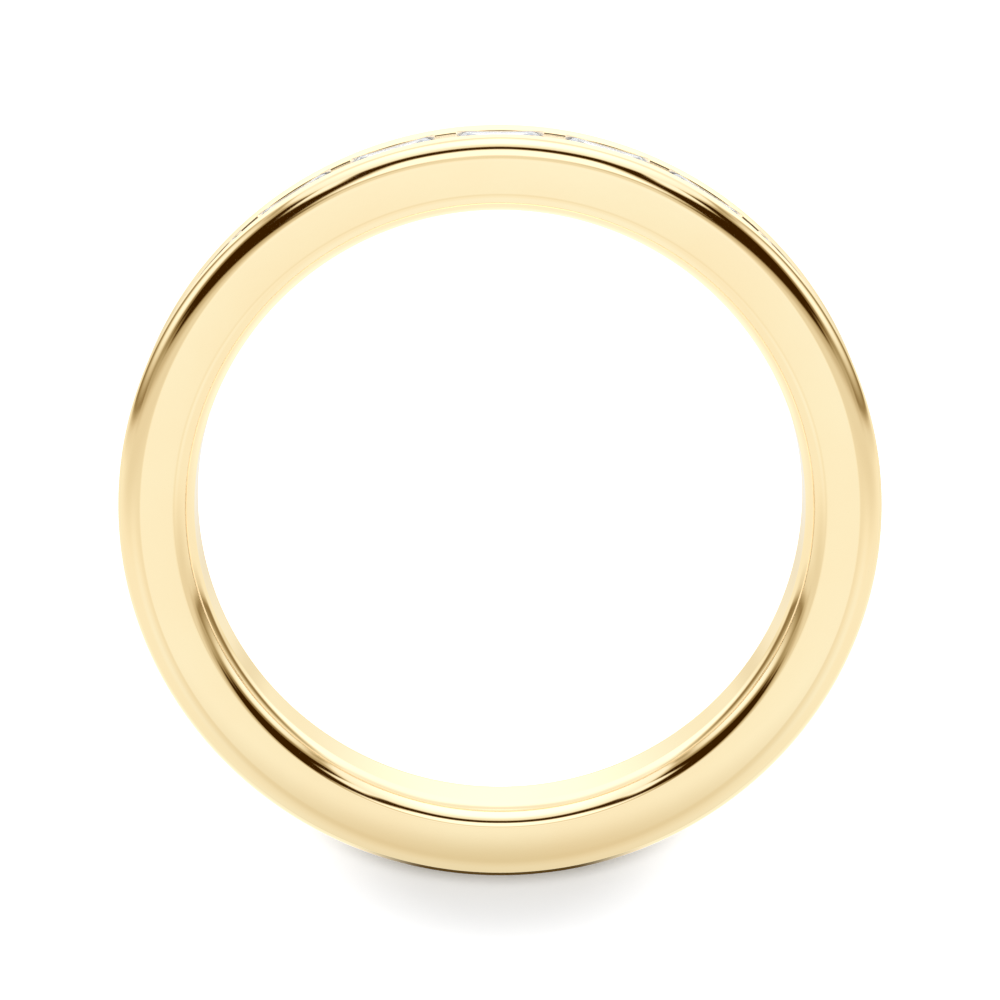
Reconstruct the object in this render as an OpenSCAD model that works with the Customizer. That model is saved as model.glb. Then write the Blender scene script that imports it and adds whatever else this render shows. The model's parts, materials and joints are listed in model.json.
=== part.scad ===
// A finger ring lying on its side: a gold band whose front half has a channel between
// two rails, with step-cut rectangular stones set end to end and a gold bar between
// each two of them. The ring's axis is Z, its lower side face lies on Z = 0 and the
// middle stone faces -Y. All sizes are in millimetres.

/* [Band] */
// Inside diameter of the band, where the finger goes
bore_d = 16.5; // [14:0.5:22]
// Thickness of the band from the bore to the crest of the rails
wall = 2.05; // [1.8:0.05:3]
// Width of the band along the finger
band_w = 2.65; // [2.5:0.05:4]
// Rounding of the outer edges, measured along a radius
outer_round_r = 0.65; // [0.2:0.05:0.8]
// Rounding of the outer edges, measured along the width
outer_round_w = 0.5; // [0.2:0.05:0.6]
// Rounding of the edges of the bore, measured along a radius
inner_round_r = 0.55; // [0.2:0.05:0.7]
// Rounding of the edges of the bore, measured along the width
inner_round_w = 0.67; // [0.2:0.01:0.9]
// Shape of that rounding: 1 is a quarter of an ellipse, and more is flatter in its middle
inner_round_power = 1.2; // [1:0.05:1.5]

/* [Channel] */
// Number of stones, the middle one at the front
stone_count = 11; // [7:2:17]
// Opening between the rails
channel_w = 0.84; // [0.76:0.01:0.9]
// How far the rails slope down from their crest to the opening
rail_dip = 0.07; // [0.04:0.01:0.12]
// How far the bars between the stones lie below the edge of the rails
bar_drop = 0.04; // [0.02:0.01:0.08]
// Width of a bar, measured at the edge of the rails
bar_w = 0.585; // [0.45:0.005:0.8]

/* [Stones] */
// Length of a stone along the band
stone_len = 2.31; // [1.8:0.01:2.6]
// Width of a stone across the band
stone_w = 1.24; // [1.16:0.01:1.4]
// Length of the table, the flat top facet
table_len = 1.74; // [1.4:0.01:2]
// Width of the table
table_w = 0.7; // [0.6:0.01:0.72]
// Height of the crown, from the girdle to the table
crown_h = 0.11; // [0.08:0.01:0.14]
// Height of the girdle, the upright edge all round
girdle_h = 0.05; // [0.03:0.01:0.08]
// Depth of the pavilion, from the girdle to the keel
pavilion_h = 0.58; // [0.5:0.01:0.65]
// Gap between a stone and the gold all round it
seat_gap = 0.02; // [0.015:0.005:0.03]

/* [Hidden] */
$fn = 240;
// Flats in one quarter of a rounded edge
round_steps = 12;
// How far a cut runs past the surface that it opens
past = 0.5;
// Width of the keel, the narrow facet under a stone
keel_w = 0.03;
// The middle facet edges of crown and pavilion: share of the inset and of the height,
// both counted from the girdle
crown_share = [0.5, 0.6];
pavilion_share = [0.4, 0.5];

bore_r = bore_d / 2;
rail_r = bore_r + wall;
rail_edge_r = rail_r - rail_dip;
bar_r = rail_edge_r - bar_drop;
mid_z = band_w / 2;
crest_z = mid_z - outer_round_w;

function between(a, b, share) = a + (b - a) * share;

// Half length and half width of a stone at each level
girdle = [stone_len, stone_w] / 2;
table = [table_len, table_w] / 2;
keel = [stone_len - stone_w, keel_w] / 2;
crown_mid = between(girdle, table, crown_share[0]);
pavilion_mid = between(girdle, keel, pavilion_share[0]);

// Distance of each level from the ring's axis: the ends of a table are level with the
// edge of the rails
table_r = sqrt(pow(rail_edge_r, 2) - pow(table.x, 2));
girdle_top_r = table_r - crown_h;
girdle_foot_r = girdle_top_r - girdle_h;
keel_r = girdle_foot_r - pavilion_h;
crown_mid_r = between(girdle_top_r, table_r, crown_share[1]);
pavilion_mid_r = between(girdle_foot_r, keel_r, pavilion_share[1]);

seat_len = stone_len + 2 * seat_gap;
pitch_angle = 2 * asin(seat_len / 2 / rail_edge_r) + 2 * asin(bar_w / 2 / rail_edge_r);
channel_angle = stone_count * pitch_angle;

function stone_name(i) = str("baguette_", i < 10 ? "0" : "", i);
// The four corners of a stone at one level
function corners(half, r) =
    [[-half.x, -half.y, r], [half.x, -half.y, r], [half.x, half.y, r], [-half.x, half.y, r]];
// An outline's points followed by their mirror images, back to the start
function mirrored(side) =
    concat(side, [for (k = [len(side) - 1 : -1 : 0]) [-side[k].x, side[k].y]]);
function flattened(x, power) = sign(x) * pow(abs(x), power);
// A quarter of an ellipse about [r, z] with half axes ar and az, starting at an angle. A
// power above 1 flattens its middle.
function rounded_edge(r, z, ar, az, start, power = 1) =
    [for (k = [0 : round_steps])
        let (a = start + 90 * k / round_steps)
            [r + ar * flattened(cos(a), power), z + az * flattened(sin(a), power)]];

// The closed outline of the band, with the radius along X and the height along Y
module band_section() {
    inner_r = bore_r + inner_round_r;
    outer_r = rail_r - outer_round_r;
    polygon(concat(
        rounded_edge(inner_r, inner_round_w, inner_round_r, inner_round_w, 180,
            inner_round_power),
        rounded_edge(outer_r, outer_round_w, outer_round_r, outer_round_w, 270),
        rounded_edge(outer_r, band_w - outer_round_w, outer_round_r, outer_round_w, 0),
        rounded_edge(inner_r, band_w - inner_round_w, inner_round_r, inner_round_w, 90,
            inner_round_power)
    ));
}

// The channel is cut down to the bars between the stones, and its rails slope towards
// the opening. It ends half a bar past the last stone on each side.
module channel_cut() {
    rotate([0, 0, -90 - channel_angle / 2])
        rotate_extrude(angle = channel_angle)
            translate([0, mid_z])
                rotate([0, 0, -90])
                    polygon(mirrored([
                        [channel_w / 2, bar_r],
                        [channel_w / 2, rail_edge_r],
                        [crest_z, rail_r],
                        [crest_z, rail_r + past]
                    ]));
}

// Takes what is drawn with its length along X, its width along Y and its height along
// Z, counted from the ring's axis, to the place of stone i
module at_stone(i) {
    translate([0, 0, mid_z])
        rotate([90, 0, (i - (stone_count + 1) / 2) * pitch_angle])
            children();
}

// The hollow for one stone, from the opening down past its keel. It follows the stone
// at a gap and is wider below the opening, so that the rails reach over the girdle.
module seat_cut() {
    lip_share = (crown_mid.y + seat_gap - channel_w / 2) / (crown_mid.y - table.y);
    lip_r = between(crown_mid_r, table_r, lip_share) + seat_gap;
    rotate([90, 0, 90])
        linear_extrude(height = seat_len, center = true)
            polygon(mirrored([
                [keel.y + seat_gap, keel_r - seat_gap],
                [pavilion_mid.y + seat_gap, pavilion_mid_r - seat_gap],
                [girdle.y + seat_gap, girdle_foot_r - seat_gap],
                [girdle.y + seat_gap, girdle_top_r + seat_gap],
                [crown_mid.y + seat_gap, crown_mid_r + seat_gap],
                [channel_w / 2, lip_r],
                [channel_w / 2, rail_r + past]
            ]));
}

// Walls, bore, rails and bars are one piece of gold
module band() {
    color("#e3bf6e")
        difference() {
            rotate_extrude()
                band_section();
            channel_cut();
            for (i = [1 : stone_count])
                at_stone(i)
                    seat_cut();
        }
}

// A step-cut stone: a table, two rows of crown facets, a girdle, and two rows of
// pavilion facets down to a narrow keel
module baguette(i) {
    points = concat(
        corners(keel, keel_r),
        corners(pavilion_mid, pavilion_mid_r),
        corners(girdle, girdle_foot_r),
        corners(girdle, girdle_top_r),
        corners(crown_mid, crown_mid_r),
        corners(table, table_r)
    );
    top = len(points) - 4;
    sides = [for (low = [0 : 4 : top - 4], c = [0 : 3])
        let (d = (c + 1) % 4) [low + c, low + 4 + c, low + 4 + d, low + d]];
    color("#e9eef2")
        at_stone(i)
            polyhedron(
                points = points,
                faces = concat([[0, 1, 2, 3]], sides, [[top + 3, top + 2, top + 1, top]])
            );
}

band();
for (i = [1 : stone_count])
    baguette(i);
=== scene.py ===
# %% [markdown]
# # A channel set band, lying on its side
# The ring is one piece of polished yellow gold. Its front half is hollowed into a channel,
# and eleven step-cut stones sit in it end to end, held by the two rails. The frame gives
# the ring at its real size in metres: its axis is Z, it lies on Z = 0 and the middle stone
# faces -Y. Here the gold is modelled again with fine rounded edges, the stones keep their
# shapes, and everything gets its finish.

# %% Load the frame
import json
from math import atan2, cos, degrees, hypot, radians, sin

import bmesh
import bpy
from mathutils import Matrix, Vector


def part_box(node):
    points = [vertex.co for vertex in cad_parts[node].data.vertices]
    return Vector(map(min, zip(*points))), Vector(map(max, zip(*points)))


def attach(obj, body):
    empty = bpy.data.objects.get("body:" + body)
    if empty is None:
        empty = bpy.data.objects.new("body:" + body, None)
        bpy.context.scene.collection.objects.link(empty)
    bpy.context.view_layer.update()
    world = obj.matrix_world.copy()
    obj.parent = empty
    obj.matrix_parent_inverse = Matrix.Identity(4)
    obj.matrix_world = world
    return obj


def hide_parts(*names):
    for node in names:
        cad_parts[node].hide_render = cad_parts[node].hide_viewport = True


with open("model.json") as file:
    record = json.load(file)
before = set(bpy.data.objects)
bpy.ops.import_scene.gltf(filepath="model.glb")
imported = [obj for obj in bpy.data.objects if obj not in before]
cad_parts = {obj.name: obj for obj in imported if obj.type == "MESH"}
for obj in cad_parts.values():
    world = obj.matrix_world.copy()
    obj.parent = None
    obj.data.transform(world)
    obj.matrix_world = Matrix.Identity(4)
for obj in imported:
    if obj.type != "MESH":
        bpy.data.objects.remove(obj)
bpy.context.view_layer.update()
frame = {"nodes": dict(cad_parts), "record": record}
stones = [frame["nodes"][name] for name in sorted(frame["nodes"]) if name != "band"]
print("nodes:", len(frame["nodes"]), "stones:", len(stones))

# %% [markdown]
# ## The camera
# The photo looks through the ring from a little towards the stones. A long lens keeps the
# circles nearly true. With the ring lying down, this is a camera high above it whose
# picture has the stones at the top, so it is turned half round about the vertical.

# %% Place the camera
mm = 0.001
low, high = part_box("band")
band_w = (high.z - low.z) / mm
mid_z = band_w / 2
lens_mm = 145.1
sensor_mm = 36
frame_shift = 0.0055
camera_distance = 109.55
camera_lean = radians(14.13)
half_turn = radians(180)

bpy.ops.object.camera_add(
    location=(
        0,
        -camera_distance * sin(camera_lean) * mm,
        (mid_z + camera_distance * cos(camera_lean)) * mm,
    ),
    rotation=(-camera_lean, 0, half_turn),
)
camera = bpy.context.object
camera.name = "camera"
camera.data.lens = lens_mm
camera.data.sensor_width = sensor_mm
camera.data.shift_y = frame_shift
camera.data.clip_start = mm
bpy.context.scene.camera = camera
bpy.context.scene.view_settings.view_transform = "Standard"
print("camera at", [round(value, 4) for value in camera.location])

# %% [markdown]
# ## Sizes of the gold
# A new piece follows the frame, so its sizes are read from the solids and aren't typed
# again. The band's corners lie on a few circles: the crest of the rails, the edge of the
# channel, the bars and the flat side faces. All modelling is done in millimetres and
# made small at the end, because merging points needs sizes well above a micrometre.

# %% Read the sizes of the band
def ring_points(piece):
    """Each point of a piece as its distance from the ring's axis and its height."""
    return [(hypot(v.co.x, v.co.y) / mm, v.co.z / mm) for v in piece.data.vertices]


nearly = 0.002
near_rail = 0.15
points = ring_points(frame["nodes"]["band"])
mounts = {mount["name"]: mount["dims"] for mount in frame["record"]["mounts"]}
bore_r = mounts["finger_bore"]["r_mm"]
bore_len = mounts["finger_bore"]["length_mm"]
rail_r = max(r for r, z in points)
crest_half = max(abs(z - mid_z) for r, z in points if r > rail_r - nearly)
face_radii = [r for r, z in points if z < nearly]
top_points = [(r, abs(z - mid_z)) for r, z in points if r > rail_r - near_rail]
channel_half = min(z for r, z in top_points)
opening_radii = [r for r, z in top_points if z < channel_half + nearly]
edge_r = max(opening_radii)
bar_r = min(opening_radii)
outer_round = (rail_r - max(face_radii), mid_z - crest_half)
inner_round = (min(face_radii) - bore_r, (band_w - bore_len) / 2)
print("bore", bore_r, "rail", round(rail_r, 3), "width", round(band_w, 3))
print("edge", round(edge_r, 3), "bar", round(bar_r, 3), "channel", round(2 * channel_half, 3))
print("outer rounding", outer_round, "inner rounding", inner_round)

# %% Read the sizes of a stone and the angle from one to the next
middle_stone = stones[len(stones) // 2]
levels = {}
for vertex in middle_stone.data.vertices:
    level = round(-vertex.co.y / mm, 3)
    half_len, half_w = levels.get(level, (0, 0))
    levels[level] = (
        max(half_len, abs(vertex.co.x) / mm),
        max(half_w, abs(vertex.co.z / mm - mid_z)),
    )
heights = sorted(levels)


def stone_angle(stone):
    """Direction of a stone's middle, seen along the ring's axis."""
    middle = sum((v.co for v in stone.data.vertices), Vector())
    return atan2(middle.y, middle.x)


pitch = abs(stone_angle(stones[len(stones) // 2 + 1]) - stone_angle(middle_stone))
channel_angle = len(stones) * pitch
half_channel = channel_angle / 2
print("levels of a stone:", {h: levels[h] for h in heights})
print("pitch", round(degrees(pitch), 3), "channel", round(degrees(channel_angle), 2))

# %% [markdown]
# ## The band
# A real band like this is cast, turned and polished. A turned thing is made in Blender by
# drawing its section once and spinning it round the axis. The section starts as a plane.
# Its corners are rounded by a vertex bevel, which draws a part of a circle, so the plane
# is squeezed first and stretched back afterwards: the circle then becomes the ellipse
# that the solid has.

# %% Helpers for modelling by hand
def choose(thing):
    """Makes one object the only selected one and the active one."""
    bpy.ops.object.select_all(action="DESELECT")
    thing.select_set(True)
    bpy.context.view_layer.objects.active = thing


def start_edit(thing):
    """Chooses one object and opens it in edit mode."""
    choose(thing)
    bpy.ops.object.mode_set(mode="EDIT")


def end_edit():
    """Goes back from edit mode to object mode."""
    bpy.ops.object.mode_set(mode="OBJECT")


def upright_plane(name, width, height, place):
    """A plane that stands upright and faces the front, with its place in its mesh."""
    bpy.ops.object.select_all(action="DESELECT")
    bpy.ops.mesh.primitive_plane_add(size=1, location=place, rotation=(radians(90), 0, 0))
    made = bpy.context.object
    made.name = name
    made.scale = (width, height, 1)
    bpy.ops.object.transform_apply(location=True, rotation=True, scale=True)
    return made


def pick(kind, test):
    """In edit mode, selects the points, edges or faces whose middle passes the test."""
    bpy.ops.mesh.select_mode(type=kind)
    bpy.ops.mesh.select_all(action="DESELECT")
    mesh = bmesh.from_edit_mesh(bpy.context.object.data)
    if kind == "VERT":
        found = [v for v in mesh.verts if test(v.co)]
    elif kind == "EDGE":
        found = [e for e in mesh.edges if test((e.verts[0].co + e.verts[1].co) / 2)]
    else:
        found = [f for f in mesh.faces if test(f.calc_center_median())]
    for part in found:
        part.select_set(True)
    mesh.select_flush_mode()
    bmesh.update_edit_mesh(bpy.context.object.data)
    return len(found)


def round_corners(at_x, x_size, z_size, steps, profile):
    """Rounds the section's corners at one X by a bevel on a squeezed section."""
    squeeze = z_size / x_size
    bpy.ops.mesh.select_all(action="SELECT")
    bpy.ops.transform.resize(value=(squeeze, 1, 1), center_override=(at_x, 0, mid_z))
    pick("VERT", lambda p: abs(p.x - at_x) < nearly)
    bpy.ops.mesh.bevel(offset=z_size, affect="VERTICES", segments=steps, profile=profile)
    bpy.ops.mesh.select_all(action="SELECT")
    bpy.ops.transform.resize(value=(1 / squeeze, 1, 1), center_override=(at_x, 0, mid_z))


# %% Draw the section
circle_profile = 0.5
flat_profile = 0.435
round_steps = 26

band = upright_plane("gold_band", rail_r - bore_r, band_w, ((bore_r + rail_r) / 2, 0, mid_z))
start_edit(band)
round_corners(rail_r, *outer_round, round_steps, circle_profile)
round_corners(bore_r, *inner_round, round_steps, flat_profile)
bpy.ops.mesh.delete(type="ONLY_FACE")
end_edit()
print("points in the section:", len(band.data.vertices))

# %% Spin the section round the axis
steps_per_stone = 17
back_steps = 174
spin_axis = (0, 0, -1)
merge_mm = 0.0005

start_edit(band)
bpy.ops.mesh.select_all(action="SELECT")
bpy.ops.transform.rotate(
    value=radians(90) + half_channel, orient_axis="Z", center_override=(0, 0, 0)
)
end_edit()
start = sum((v.co for v in band.data.vertices), Vector())
print("section starts at", round(degrees(atan2(start.y, start.x)), 3), "degrees")
start_edit(band)
bpy.ops.mesh.select_all(action="SELECT")
bpy.ops.mesh.spin(
    steps=len(stones) * steps_per_stone, angle=channel_angle, center=(0, 0, 0), axis=spin_axis
)
bpy.ops.mesh.spin(
    steps=back_steps, angle=radians(360) - channel_angle, center=(0, 0, 0), axis=spin_axis
)
bpy.ops.mesh.select_all(action="SELECT")
bpy.ops.mesh.remove_doubles(threshold=merge_mm)
bpy.ops.mesh.normals_make_consistent(inside=False)
end_edit()
print("faces after spinning:", len(band.data.polygons))

# %% [markdown]
# ## The channel
# The crest of the front half is one strip of faces, so the channel is made in it the way
# one would by hand: the strip is extruded and made narrower and smaller towards the
# axis. The first step makes the slopes of the rails, and the second one the short walls
# down to the bars. The ends of the channel close by themselves.

# %% Extrude the channel into the crest
def from_front(point):
    """Angle between a point and the front, where the middle stone sits."""
    return abs(atan2(point.x, -point.y))


def on_strip(point, radius):
    """Whether a face's middle lies on the front strip at one distance from the axis."""
    flat = hypot(point.x, point.y)
    return (
        abs(flat - radius) < 5 * nearly
        and abs(point.z - mid_z) < nearly
        and from_front(point) < half_channel
    )


start_edit(band)
strip = pick("FACE", lambda p: on_strip(p, rail_r))
for wanted_r, from_r, wanted_half, from_half in (
    (edge_r, rail_r, channel_half, crest_half),
    (bar_r, edge_r, channel_half, channel_half),
):
    shrink = wanted_r / from_r
    bpy.ops.mesh.extrude_region_move()
    bpy.ops.transform.resize(
        value=(shrink, shrink, wanted_half / from_half), center_override=(0, 0, mid_z)
    )
bpy.ops.mesh.select_all(action="SELECT")
bpy.ops.mesh.normals_make_consistent(inside=False)

lip_round = 0.015
lip_steps = 2
lips = pick(
    "EDGE",
    lambda p: abs(hypot(p.x, p.y) - edge_r) < nearly
    and abs(abs(p.z - mid_z) - channel_half) < nearly,
)
bpy.ops.mesh.bevel(offset=lip_round, affect="EDGES", segments=lip_steps, profile=circle_profile)
end_edit()
print("strip of", strip, "faces, lips of", lips, "edges")

# %% [markdown]
# ## The seats
# Each stone sits in a hollow of its own, which follows the stone at a small gap and
# reaches under the rails. A cutter is modelled once, from a plane at the keel that is
# extruded and widened level by level, and spun out into one copy for each stone. A
# Boolean modifier takes it out of the gold.

# %% Make the seat cutter
seat_gap = 0.02
wall_clear = 0.0005
past_rail = 0.5

keel_level, pavilion_level, girdle_foot, girdle_top, crown_level, table_level = heights
crown_run = (table_level - crown_level) / (levels[crown_level][1] - levels[table_level][1])
lip_level = crown_level + (levels[crown_level][1] + seat_gap - channel_half) * crown_run
seat_section = [
    (keel_level - seat_gap, levels[keel_level][1] + seat_gap),
    (pavilion_level - seat_gap, levels[pavilion_level][1] + seat_gap),
    (girdle_foot - seat_gap, levels[girdle_foot][1] + seat_gap),
    (girdle_top + seat_gap, levels[girdle_top][1] + seat_gap),
    (crown_level + seat_gap, levels[crown_level][1] + seat_gap),
    (lip_level + seat_gap, channel_half - wall_clear),
    (rail_r + past_rail, channel_half - wall_clear),
]
seat_len = 2 * (levels[girdle_top][0] + seat_gap)

bottom, bottom_half = seat_section[0]
cutter = upright_plane("seat_cutter", seat_len, 2 * bottom_half, (0, -bottom, mid_z))
start_edit(cutter)
bpy.ops.mesh.select_all(action="SELECT")
for (below, below_half), (level, half) in zip(seat_section, seat_section[1:]):
    bpy.ops.mesh.extrude_region_move(TRANSFORM_OT_translate={"value": (0, below - level, 0)})
    bpy.ops.transform.resize(
        value=(1, 1, half / below_half), center_override=(0, -level, mid_z)
    )
bpy.ops.mesh.select_all(action="SELECT")
bpy.ops.mesh.normals_make_consistent(inside=False)
first_stone = (len(stones) - 1) / 2 * pitch
bpy.ops.transform.rotate(value=first_stone, orient_axis="Z", center_override=(0, 0, 0))
bpy.ops.mesh.spin(
    steps=len(stones) - 1,
    dupli=True,
    angle=2 * first_stone,
    center=(0, 0, 0),
    axis=spin_axis,
)
end_edit()
faces_of_one = 4 * (len(seat_section) - 1) + 2
print("cutter for", len(cutter.data.polygons) // faces_of_one, "seats")

# %% Cut the seats
merge_cut_mm = 0.00002

choose(band)
bpy.ops.object.modifier_add(type="BOOLEAN")
cut = band.modifiers[-1]
cut.operation = "DIFFERENCE"
cut.solver = "EXACT"
cut.object = cutter
bpy.ops.object.modifier_apply(modifier=cut.name)
bpy.data.objects.remove(cutter)
start_edit(band)
bpy.ops.mesh.select_all(action="SELECT")
bpy.ops.mesh.remove_doubles(threshold=merge_cut_mm)
bpy.ops.mesh.normals_make_consistent(inside=False)
bpy.ops.mesh.select_all(action="DESELECT")
bpy.ops.mesh.select_mode(type="EDGE")
bpy.ops.mesh.select_non_manifold()
open_edges = sum(e.select for e in bmesh.from_edit_mesh(band.data).edges)
end_edit()
print("faces with seats:", len(band.data.polygons), "open edges:", open_edges)

# %% Finish the band's mesh
smooth_angle = radians(30)


def to_metres(thing):
    """Shrinks a piece from millimetres to metres in its mesh."""
    choose(thing)
    thing.scale = (mm, mm, mm)
    bpy.ops.object.transform_apply(location=True, rotation=True, scale=True)


def weigh_normals(thing):
    """Lets the large flat faces set the shading where they meet the small rounded ones."""
    choose(thing)
    bpy.ops.object.modifier_add(type="WEIGHTED_NORMAL")
    weighted = thing.modifiers[-1]
    weighted.mode = "FACE_AREA"
    weighted.keep_sharp = True
    bpy.ops.object.modifier_apply(modifier=weighted.name)


bpy.ops.object.shade_smooth_by_angle(angle=smooth_angle)
weigh_normals(band)
to_metres(band)
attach(band, "root")
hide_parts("band")
corners = [band.matrix_world @ v.co for v in band.data.vertices]
print("band from", [round(min(c[k] for c in corners) / mm, 3) for k in range(3)],
      "to", [round(max(c[k] for c in corners) / mm, 3) for k in range(3)])

# %% [markdown]
# ## Handling marks
# No polish is even. A soft noise makes some places of the gold and of the stones a little
# duller than others, as wiping and wearing do. Both materials need it, so it is a node
# group, and each places it with its own values.

# %% Helpers for nodes
def node(tree, kind, **settings):
    """A new node with some of its settings."""
    made = tree.nodes.new(kind)
    for name, value in settings.items():
        setattr(made, name, value)
    return made


def feed(tree, target, source):
    """Sets an input to a number, a vector or the output of another node."""
    if isinstance(source, bpy.types.NodeSocket):
        tree.links.new(source, target)
    else:
        target.default_value = source


def calc(tree, operation, *sources):
    """The result of one Math node."""
    made = node(tree, "ShaderNodeMath", operation=operation)
    for target, source in zip(made.inputs, sources):
        feed(tree, target, source)
    return made.outputs[0]


def group_tree(name, inputs, outputs):
    """An empty node group with number inputs and outputs, and its two end nodes."""
    tree = bpy.data.node_groups.new(name, "ShaderNodeTree")
    for socket in inputs:
        tree.interface.new_socket(socket, in_out="INPUT", socket_type="NodeSocketFloat")
    for socket in outputs:
        tree.interface.new_socket(socket, in_out="OUTPUT", socket_type="NodeSocketFloat")
    return tree, node(tree, "NodeGroupInput"), node(tree, "NodeGroupOutput")


def place_group(tree, group, **values):
    """Places a node group and sets or links its inputs by name."""
    made = node(tree, "ShaderNodeGroup", node_tree=group)
    for name, value in values.items():
        feed(tree, made.inputs[name.replace("_", " ")], value)
    return made


# %% Build the handling marks
broad_detail, fine_detail = 3, 2
dull_from, dull_to = 0.35, 0.65


def noise(tree, place, grain_size, detail):
    """A noise whose grains have one size in metres."""
    made = node(tree, "ShaderNodeTexNoise")
    made.inputs["Detail"].default_value = detail
    feed(tree, made.inputs["Vector"], place)
    feed(tree, made.inputs["Scale"], calc(tree, "DIVIDE", 1, grain_size))
    return made.outputs["Fac"]


marks, ends, out = group_tree(
    "handling_marks",
    ["Patch Size", "Scratch Size", "Sharpest", "Dullest"],
    ["Roughness", "Patches", "Height"],
)
place = node(marks, "ShaderNodeTexCoord").outputs["Object"]
broad = noise(marks, place, ends.outputs["Patch Size"], broad_detail)
fine = noise(marks, place, ends.outputs["Scratch Size"], fine_detail)
spread = node(marks, "ShaderNodeMapRange", interpolation_type="SMOOTHSTEP")
spread.inputs["From Min"].default_value = dull_from
spread.inputs["From Max"].default_value = dull_to
feed(marks, spread.inputs["Value"], broad)
amount = spread.outputs["Result"]
span = calc(marks, "SUBTRACT", ends.outputs["Dullest"], ends.outputs["Sharpest"])
duller = calc(marks, "MULTIPLY", span, amount)
feed(marks, out.inputs["Roughness"], calc(marks, "ADD", ends.outputs["Sharpest"], duller))
feed(marks, out.inputs["Patches"], amount)
feed(marks, out.inputs["Height"], fine)
print("group:", marks.name, "nodes:", len(marks.nodes))

# %% [markdown]
# ## The gold
# Polished gold is a mirror with a colour. The colour wanders a little between a greener
# and a redder yellow, the polish is a little uneven, and a very fine bump keeps the
# reflections from looking like glass. Gold keeps its colour at a flat angle, which a
# specular tint says. Where gold is mirrored in gold its colour would count twice and turn
# orange, so it is paler for the rays that come from a mirror. Deep in the seats the casting
# is left matt, so the faces there have a second, rougher gold. It glows a little, because a
# cut stone throws light back and forth more often than a render follows, and would look
# black at its ends without that. The short walls of the channel and the lips beside the
# bars get the darkest of the three, a nearly black gold that is painted shade, for the
# dark lines along the groove.

# %% Make the gold
edge_tint = (1, 0.95, 0.8, 1)
twice_mirrored = (1, 0.94, 0.85, 1)
seat_glow = (1, 0.98, 0.95, 1)
seat_glow_strength = 0.5


def gold(name, tones, patch_mm, scratch_mm, sharpest, dullest, bump_mm):
    """A gold whose polish lies between two roughness values."""
    material = bpy.data.materials.new(name)
    material.use_nodes = True
    tree = material.node_tree
    surface = tree.nodes["Principled BSDF"]
    surface.inputs["Metallic"].default_value = 1
    surface.inputs["Specular Tint"].default_value = edge_tint
    wear = place_group(tree, marks, Patch_Size=patch_mm * mm, Scratch_Size=scratch_mm * mm,
                       Sharpest=sharpest, Dullest=dullest)
    tone = node(tree, "ShaderNodeMix", data_type="RGBA")
    tone.inputs["A"].default_value = tones[0]
    tone.inputs["B"].default_value = tones[1]
    feed(tree, tone.inputs["Factor"], wear.outputs["Patches"])
    again = node(tree, "ShaderNodeMix", data_type="RGBA")
    feed(tree, again.inputs["A"], tone.outputs["Result"])
    again.inputs["B"].default_value = twice_mirrored
    feed(tree, again.inputs["Factor"], node(tree, "ShaderNodeLightPath").outputs["Is Glossy Ray"])
    feed(tree, surface.inputs["Base Color"], again.outputs["Result"])
    feed(tree, surface.inputs["Roughness"], wear.outputs["Roughness"])
    bump = node(tree, "ShaderNodeBump")
    bump.inputs["Distance"].default_value = bump_mm * mm
    feed(tree, bump.inputs["Height"], wear.outputs["Height"])
    feed(tree, surface.inputs["Normal"], bump.outputs["Normal"])
    return material


polished = gold(
    "polished_gold",
    tones=[(1, 0.80, 0.455, 1), (1, 0.785, 0.44, 1)],
    patch_mm=4,
    scratch_mm=0.3,
    sharpest=0.04,
    dullest=0.07,
    bump_mm=0.0003,
)
seat_gold = gold(
    "matt_seat_gold",
    tones=[(0.95, 0.74, 0.40, 1), (0.88, 0.66, 0.34, 1)],
    patch_mm=0.8,
    scratch_mm=0.05,
    sharpest=0.35,
    dullest=0.5,
    bump_mm=0.002,
)
seat_surface = seat_gold.node_tree.nodes["Principled BSDF"]
seat_surface.inputs["Emission Color"].default_value = seat_glow
seat_surface.inputs["Emission Strength"].default_value = seat_glow_strength
# A nearly black gold: painted shade on the channel's short walls and on the lips beside the bars.
groove_shade_gold = gold(
    "groove_shade_gold",
    tones=[(0.1, 0.08, 0.03, 1), (0.08, 0.06, 0.02, 1)],
    patch_mm=0.8,
    scratch_mm=0.05,
    sharpest=0.3,
    dullest=0.45,
    bump_mm=0.001,
)


def in_seat(point):
    """Whether a face lies in the seats, under the bars."""
    return (
        bore_r + inner_round[0] < hypot(point.x, point.y) / mm < bar_r - nearly
        and abs(point.z / mm - mid_z) < levels[girdle_top][1] + 2 * seat_gap
    )


def beside_bar(point):
    """Whether a point is next to a bar and not next to a stone."""
    from_middle = abs((from_front(point) / pitch + 0.5) % 1 - 0.5) * pitch
    return from_middle > atan2(levels[girdle_top][0], girdle_top)


def gets_groove_shade(point):
    """Whether a face belongs to the channel's upright walls or to an upper lip at a bar, where the
    gold is painted with shade.
    """
    radius = hypot(point.x, point.y) / mm
    rise = point.z / mm - mid_z
    upright = bar_r - nearly < radius < edge_r - nearly and abs(abs(rise) - channel_half) < nearly
    on_lip = abs(radius - edge_r) < lip_round and abs(rise - channel_half) < lip_round + nearly
    return upright or (on_lip and beside_bar(point))


start_edit(band)
for slot, (material, test) in enumerate(
    [(polished, lambda p: True), (seat_gold, in_seat), (groove_shade_gold, gets_groove_shade)]
):
    band.data.materials.append(material)
    found = pick("FACE", test)
    band.active_material_index = slot
    bpy.ops.object.material_slot_assign()
    print(material.name, found, "faces")
end_edit()

# %% [markdown]
# ## The stones
# The solids of the stones have the right facets, so they stay and only get a material.
# Diamond bends light more than glass does and has no colour of its own. Its roughness is
# almost nothing, with a trace of handling marks.

# %% Make the diamond
diamond_ior = 2.42
cool_clear = (0.97, 0.98, 1, 1)
plain_clear = (1, 1, 1, 1)

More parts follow.
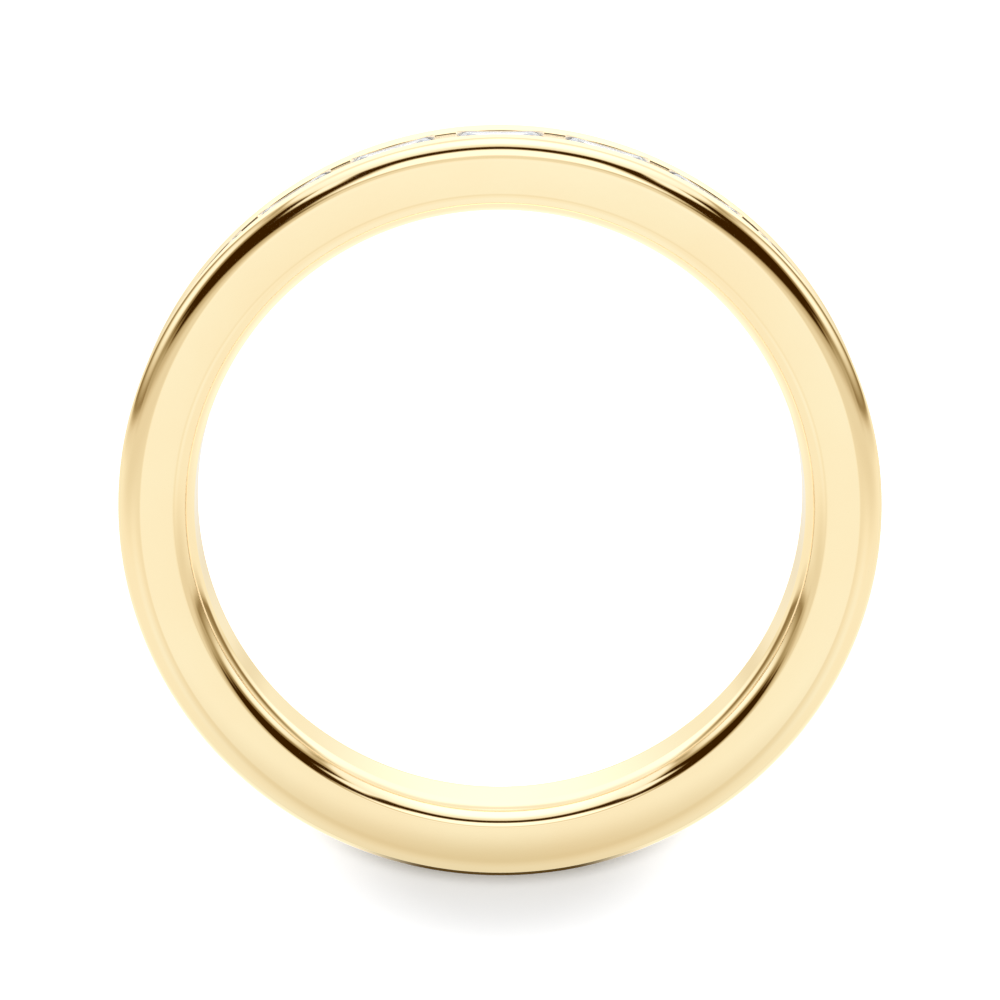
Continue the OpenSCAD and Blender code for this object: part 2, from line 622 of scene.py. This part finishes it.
diamond = bpy.data.materials.new("diamond")
diamond.use_nodes = True
tree = diamond.node_tree
surface = tree.nodes["Principled BSDF"]
surface.inputs["Transmission Weight"].default_value = 1
surface.inputs["IOR"].default_value = diamond_ior
wear = place_group(tree, marks, Patch_Size=0.9 * mm, Scratch_Size=0.1 * mm,
                   Sharpest=0.0, Dullest=0.03)
tint = node(tree, "ShaderNodeMix", data_type="RGBA")
tint.inputs["A"].default_value = cool_clear
tint.inputs["B"].default_value = plain_clear
feed(tree, tint.inputs["Factor"], wear.outputs["Patches"])
feed(tree, surface.inputs["Base Color"], tint.outputs["Result"])
feed(tree, surface.inputs["Roughness"], wear.outputs["Roughness"])
for stone in stones:
    stone.data.materials.clear()
    stone.data.materials.append(diamond)
print("stones with the diamond:", len(stones))

# %% [markdown]
# ## The surroundings
# Polished gold shows little but what stands round it, so the light is built as a studio
# for jewellery: a bright ceiling of white cloth, a bright window in front, dark boards
# beside it and above it, two brown side walls with a lamp each, and a pale back wall. They
# are soft patches on a sphere, placed by two angles in degrees. The height is measured
# towards the stones, and the side angle goes from straight above the ring, which is 0,
# round to below it, at 180. Left and right are the same. A later patch covers an earlier
# one, so each is laid over the light that comes in.

# %% Build the patch group
patch, ends, out = group_tree(
    "light_patch",
    ["Light", "Side", "Height", "At Side", "At Height", "Half Side", "Half Height",
     "Soft Side", "Soft Height", "Lean", "Rise", "Value"],
    ["Light"],
)


def patch_input(name):
    """One of the values that the group is placed with."""
    return ends.outputs[name]


def covered(offset, half, soft):
    """1 inside the patch, 0 outside it, with a soft edge, along one of its two angles."""
    fade = node(patch, "ShaderNodeMapRange", interpolation_type="SMOOTHSTEP")
    feed(patch, fade.inputs["Value"], calc(patch, "ABSOLUTE", offset))
    feed(patch, fade.inputs["From Min"], calc(patch, "SUBTRACT", half, soft))
    feed(patch, fade.inputs["From Max"], calc(patch, "ADD", half, soft))
    fade.inputs["To Min"].default_value = 1
    fade.inputs["To Max"].default_value = 0
    return fade.outputs["Result"]


off_side = calc(patch, "SUBTRACT", patch_input("Side"), patch_input("At Side"))
off_height = calc(patch, "SUBTRACT", patch_input("Height"), patch_input("At Height"))
leaning = calc(patch, "MULTIPLY", patch_input("Lean"), off_height)
rising = calc(patch, "MULTIPLY", patch_input("Rise"), off_side)
share = calc(
    patch,
    "MULTIPLY",
    covered(calc(patch, "SUBTRACT", off_side, leaning),
            patch_input("Half Side"), patch_input("Soft Side")),
    covered(calc(patch, "SUBTRACT", off_height, rising),
            patch_input("Half Height"), patch_input("Soft Height")),
)
change = calc(patch, "SUBTRACT", patch_input("Value"), patch_input("Light"))
change = calc(patch, "MULTIPLY", change, share)
feed(patch, out.inputs["Light"], calc(patch, "ADD", patch_input("Light"), change))
print("group:", patch.name, "nodes:", len(patch.nodes))

# %% Hang the patches
base_light = 1.1
# name, at side, at height, half side, half height, soft side, soft height, lean, rise, value
patches = [
    ("back wall", 0, -84, 400, 30, 1, 10, 0, 0, 1.24),
    ("far table", 160, -38, 38, 18, 28, 12, 0, 0, 1.5),
    ("far streak", 150, 1, 45, 2, 15, 2, 0, -0.3, 0.88),
    ("far foot", 177, -3, 10, 12, 4, 4, 0, 0, 0.9),
    ("front fade", 20, 0, 60, 15, 30, 8, 0, 0, 0.8),
    ("front shade", 35, 3, 32, 3, 12, 4, 0, 0, 0.45),
    ("wall foot", 92, -1, 28, 3, 10, 3, 0, 0, 0.8),
    ("low lamp", 34, -27, 10, 9, 10, 9, 0, 0, 1.25),
    ("under shade", 0, -26, 15, 9, 7, 6, 0, 0, 0.95),
    ("window glow", 0, -8, 8, 12, 2.5, 3, 0, 0, 1.22),
    ("upper glow", 0, -6, 8, 5, 4, 3, 0, 0, 1.29),
    ("glow heart", 0, -14, 3.4, 3.4, 1.8, 1.8, 0, 0, 1.0),
    ("side wall", 92, 24, 32, 23, 5, 2.5, 0, 0, 0.12),
    ("wall lamp", 85, 27, 17, 15, 13, 11, 0, 0, 1.5),
    ("wall end", 62, 26, 4, 14, 4, 8, 0, 0, 0.15),
    ("board", 33, 25.6, 27, 19.6, 4, 3, 0, 0, 0.0),
    ("board gap", 54, 6, 6, 5, 4, 5, 0, 0, 0.35),
    ("ceiling", 0, 100, 400, 49, 1, 4, 0, -0.05, 1.35),
    ("high ceiling", 0, 104, 400, 43, 1, 12, 0, 0, 1.95),
    ("ceiling front", 0, 55, 20, 6, 20, 6, 0, 0, 1.05),
    ("far side", 180, 38, 64, 26, 10, 9, -0.8, 0, 1.75),
    ("ceiling shade", 116, 64, 16, 16, 18, 12, 0.3, 0, 1.05),
    ("high shade", 160, 73, 42, 7.5, 20, 6, 0, 0, 1.1),
    ("upper board", 0, 44.2, 27, 6.8, 5, 3, 0, -0.1, 0.0),
    ("ceiling line", 90, 46.5, 16, 2.5, 10, 2, 0, 0.1, 0.3),
    ("board lamp", 37, 40, 6.5, 7, 2.5, 3.5, 0.5, 0, 1.4),
    ("window", 0, 25.4, 16, 10.8, 3, 3.5, 0, -0.15, 1.65),
    ("window sill", 0, 7, 12, 4, 3, 4, 0.2, 0, 0.88),
]
world = bpy.data.worlds.new("studio")
bpy.context.scene.world = world
world.use_nodes = True
tree = world.node_tree
split = node(tree, "ShaderNodeSeparateXYZ")
feed(tree, split.inputs[0], node(tree, "ShaderNodeTexCoord").outputs["Generated"])
flip = calc(tree, "MULTIPLY", split.outputs["Y"], -1)
height = calc(tree, "DEGREES", calc(tree, "ARCSINE", flip))
side = calc(tree, "DEGREES",
            calc(tree, "ARCTAN2", calc(tree, "ABSOLUTE", split.outputs["X"]), split.outputs["Z"]))
light = base_light
for name, *values in patches:
    made = place_group(tree, patch, Light=light, Side=side, Height=height)
    made.label = name
    for socket, value in zip(list(made.inputs)[3:], values):
        socket.default_value = value
    light = made.outputs["Light"]

# %% Tint the light that the gold mirrors
most_light = 2
tints = [
    (0.0, (0.04, 0.015, 0.0)),
    (0.08, (0.24, 0.17, 0.08)),
    (0.25, (0.42, 0.36, 0.25)),
    (0.55, (0.68, 0.63, 0.55)),
    (0.85, (0.86, 0.86, 0.85)),
    (1.05, (0.97, 1.0, 1.05)),
    (1.25, (1.0, 1.09, 1.25)),
    (1.55, (1.25, 1.27, 1.55)),
    (2.0, (2.0, 2.0, 2.0)),
]
ramp = node(tree, "ShaderNodeValToRGB")
elements = ramp.color_ramp.elements
while len(elements) < len(tints):
    elements.new(1)
for element, (value, colour) in zip(elements, tints):
    element.position = value / most_light
    element.color = (*[part / most_light for part in colour], 1)
feed(tree, ramp.inputs["Fac"], calc(tree, "DIVIDE", light, most_light))
mirrored = tree.nodes["Background"]
feed(tree, mirrored.inputs["Color"], ramp.outputs["Color"])
mirrored.inputs["Strength"].default_value = most_light
print("patches of light:", len(patches), "tints:", len(tints))

# %% [markdown]
# The camera sees plain white behind the ring, and the floor gets an even fill. The stones
# get the same patches without the tints, because a diamond splits white light and is
# clear. The surroundings are only met by rays that bounce, so each ray's kind is known.

# %% Give each kind of ray its surroundings
fill_light = 0.22
plain_white = (1, 1, 1, 1)


def ground(colour, strength=1):
    """Surroundings of one colour, or of one that is linked in."""
    made = node(tree, "ShaderNodeBackground")
    feed(tree, made.inputs["Color"], colour)
    made.inputs["Strength"].default_value = strength
    return made.outputs[0]


path = node(tree, "ShaderNodeLightPath")
seen = mirrored.outputs[0]
for ray, other in (
    ("Is Transmission Ray", ground(light)),
    ("Is Diffuse Ray", ground(plain_white, fill_light)),
    ("Is Camera Ray", ground(plain_white)),
):
    chosen = node(tree, "ShaderNodeMixShader")
    feed(tree, chosen.inputs[0], path.outputs[ray])
    feed(tree, chosen.inputs[1], seen)
    feed(tree, chosen.inputs[2], other)
    seen = chosen.outputs[0]
feed(tree, tree.nodes["World Output"].inputs["Surface"], seen)
world.cycles.sampling_method = "NONE"
print("world nodes:", len(tree.nodes))

# %% [markdown]
# ## The floor
# A plain pale floor lies under the ring. It is a light table: it glows in the hole and
# around the ring, so that it stays white there. Behind the plain half it glows less, and
# almost not at all at the ring's foot there: a painted soft shadow. A wide soft sun from
# the stones' side casts the long faint part of that shadow. The gold doesn't mirror the
# floor, as its surroundings are complete.

# %% Lay the floor
floor_size = 4
paper_tone = (0.89, 0.9, 0.92, 1)
# The third glow is that of the painted shadow behind the plain half.
glow_inside, glow_around, painted_shadow_glow = 1, 0.8, 0.38
shadow_y, shadow_squeeze = 11, 0.48
shadow_core, shadow_edge = 1, 3.6
foot_shadow_edge, foot_shadow_clear = 10.9, 11.5


def fall(tree, value, full_at, none_at):
    """1 up to one place in millimetres and 0 past another, changing softly between them."""
    made = node(tree, "ShaderNodeMapRange", interpolation_type="SMOOTHSTEP")
    feed(tree, made.inputs["Value"], value)
    made.inputs["From Min"].default_value = full_at * mm
    made.inputs["From Max"].default_value = none_at * mm
    made.inputs["To Min"].default_value = 1
    made.inputs["To Max"].default_value = 0
    return made.outputs["Result"]


bpy.ops.object.select_all(action="DESELECT")
bpy.ops.mesh.primitive_plane_add(size=floor_size)
floor = bpy.context.object
floor.name = "floor"
floor.visible_glossy = False
floor.visible_transmission = False
paper = bpy.data.materials.new("floor_paper")
paper.use_nodes = True
tree = paper.node_tree
surface = tree.nodes["Principled BSDF"]
surface.inputs["Base Color"].default_value = paper_tone
surface.inputs["Roughness"].default_value = 1
surface.inputs["Specular IOR Level"].default_value = 0
surface.inputs["Emission Color"].default_value = plain_white
place = node(tree, "ShaderNodeTexCoord").outputs["Object"]
from_axis = node(tree, "ShaderNodeVectorMath", operation="LENGTH")
feed(tree, from_axis.inputs[0], place)
inside = fall(tree, from_axis.outputs["Value"], bore_r + inner_round[0], rail_r)
from_foot = node(tree, "ShaderNodeVectorMath", operation="MULTIPLY_ADD")
feed(tree, from_foot.inputs[0], place)
from_foot.inputs[1].default_value = (shadow_squeeze, 1, 0)
from_foot.inputs[2].default_value = (0, -shadow_y * mm, 0)
reach = node(tree, "ShaderNodeVectorMath", operation="LENGTH")
feed(tree, reach.inputs[0], from_foot.outputs[0])
behind = fall(tree, reach.outputs["Value"], shadow_core, shadow_edge)
foot_shadow = fall(tree, from_axis.outputs["Value"], foot_shadow_edge, foot_shadow_clear)
clear_of_foot_shadow = calc(tree, "SUBTRACT", 1, foot_shadow)
# Painted shadow: less glow in a soft oval behind the plain half, almost none at the ring's foot there.
painted_shadow = calc(tree, "MULTIPLY", calc(tree, "MULTIPLY", behind, clear_of_foot_shadow), painted_shadow_glow)
around = calc(tree, "MULTIPLY", calc(tree, "SUBTRACT", 1, behind), glow_around)
outside = calc(tree, "ADD", painted_shadow, around)
glow = calc(tree, "MAXIMUM", calc(tree, "MULTIPLY", inside, glow_inside), outside)
feed(tree, surface.inputs["Emission Strength"], glow)
floor.data.materials.append(paper)
print("floor nodes:", len(tree.nodes))

# %% Light the sun
sun_lean = radians(33)
sun_spread = radians(50)
sun_power = 1.3

bpy.ops.object.light_add(type="SUN", rotation=(sun_lean, 0, 0))
sun = bpy.context.object
sun.name = "soft_sun"
sun.data.energy = sun_power
sun.data.angle = sun_spread
sun.visible_glossy = False
print("sun over the stones, leaning", round(degrees(sun_lean)), "degrees")

# %% [markdown]
# ## The cards
# Two cards close to the ring are seen only in the gold's mirror, where they paint shade
# into its reflections. A tan collar stands behind the ring and fades upwards, so the side
# face gets a painted soft shade there. A low brown one under it paints the dark line of the
# ring's far outline, a painted reflection of a contact shadow. Its foot is bent in to a
# narrow shelf, which catches what the edge mirrors steeply downwards and hardly shows from
# the side. Only mirrored rays see the cards, and only those from close by.

# %% Make a card
collar_r = rail_r + 0.5
collar_sides = 96
near_by, too_far = 11, 14


def collar(name, foot, top, colour, share, foot_gap=None):
    """A card bent round the ring, clear where its share is 0. With a gap given, its foot
    is bent in to a flat shelf that ends that far from the ring."""
    bpy.ops.object.select_all(action="DESELECT")
    bpy.ops.mesh.primitive_cylinder_add(
        vertices=collar_sides,
        radius=collar_r * mm,
        depth=(top - foot) * mm,
        end_fill_type="NOTHING",
        location=(0, 0, (foot + top) / 2 * mm),
    )
    card = bpy.context.object
    card.name = name
    bpy.ops.object.transform_apply(location=True, rotation=True, scale=True)
    if foot_gap is not None:
        inwards = (rail_r + foot_gap) / collar_r
        start_edit(card)
        pick("EDGE", lambda p: p.z < (foot + nearly) * mm)
        bpy.ops.mesh.extrude_region_move()
        bpy.ops.transform.resize(value=(inwards, inwards, 1), center_override=(0, 0, 0))
        end_edit()
    bpy.ops.object.shade_smooth()
    card.visible_camera = False
    card.visible_diffuse = False
    card.visible_transmission = False
    card.visible_shadow = False
    material = bpy.data.materials.new(name)
    material.use_nodes = True
    tree = material.node_tree
    tree.nodes.remove(tree.nodes["Principled BSDF"])
    light = node(tree, "ShaderNodeEmission")
    light.inputs["Color"].default_value = colour
    split = node(tree, "ShaderNodeSeparateXYZ")
    feed(tree, split.inputs[0], node(tree, "ShaderNodeTexCoord").outputs["Object"])
    behind = calc(tree, "MAXIMUM", calc(tree, "DIVIDE", split.outputs["Y"], collar_r * mm), 0)
    close = fall(tree, node(tree, "ShaderNodeLightPath").outputs["Ray Length"], near_by, too_far)
    shown = calc(tree, "MULTIPLY", close, share(tree, split, behind))
    mix = node(tree, "ShaderNodeMixShader")
    feed(tree, mix.inputs[0], shown)
    feed(tree, mix.inputs[1], node(tree, "ShaderNodeBsdfTransparent").outputs[0])
    feed(tree, mix.inputs[2], light.outputs[0])
    feed(tree, tree.nodes["Material Output"].inputs["Surface"], mix.outputs[0])
    card.data.materials.append(material)
    return card


# %% Hold the two cards
# The tan card's colour: painted shade that the lower side face mirrors.
shade_reflection_colour = (0.76, 0.74, 0.69, 1)
tan_foot, tan_top = 2.42, 8.8
tan_full_from, tan_full_to = 4.4, 5.6
tan_low_to = 3
low_share = 1.35
# The brown card's colour: a painted contact shadow that the far outline mirrors as a dark line.
contact_shadow_colour = (0.1, 0.07, 0.03, 1)
brown_foot, brown_top = 2.05, 2.4
brown_full_x, brown_none_x = 2, 4.5
shelf_gap = 0.1


def shade_reflection_share(tree, split, behind):
    """Full behind the ring, less towards its sides and low down, and fading upwards."""
    around = calc(tree, "POWER", behind, 2)
    off_middle = calc(tree, "SUBTRACT", low_share, behind)
    low = calc(tree, "MULTIPLY", fall(tree, split.outputs["Z"], tan_low_to, tan_full_from), off_middle)
    high = fall(tree, split.outputs["Z"], tan_full_to, tan_top)
    fading = calc(tree, "MULTIPLY", calc(tree, "SUBTRACT", 1, low), high)
    return calc(tree, "MULTIPLY", around, fading)


def contact_shadow_share(tree, split, behind):
    """Full in the middle behind the ring, and gone past its sides."""
    across = fall(tree, calc(tree, "ABSOLUTE", split.outputs["X"]), brown_full_x, brown_none_x)
    return calc(tree, "MULTIPLY", calc(tree, "CEIL", behind), across)


cards = [
    collar("shade_reflection_collar", tan_foot, tan_top, shade_reflection_colour, shade_reflection_share),
    collar("contact_shadow_collar", brown_foot, brown_top, contact_shadow_colour, contact_shadow_share, shelf_gap),
]
print("cards:", [card.name for card in cards])
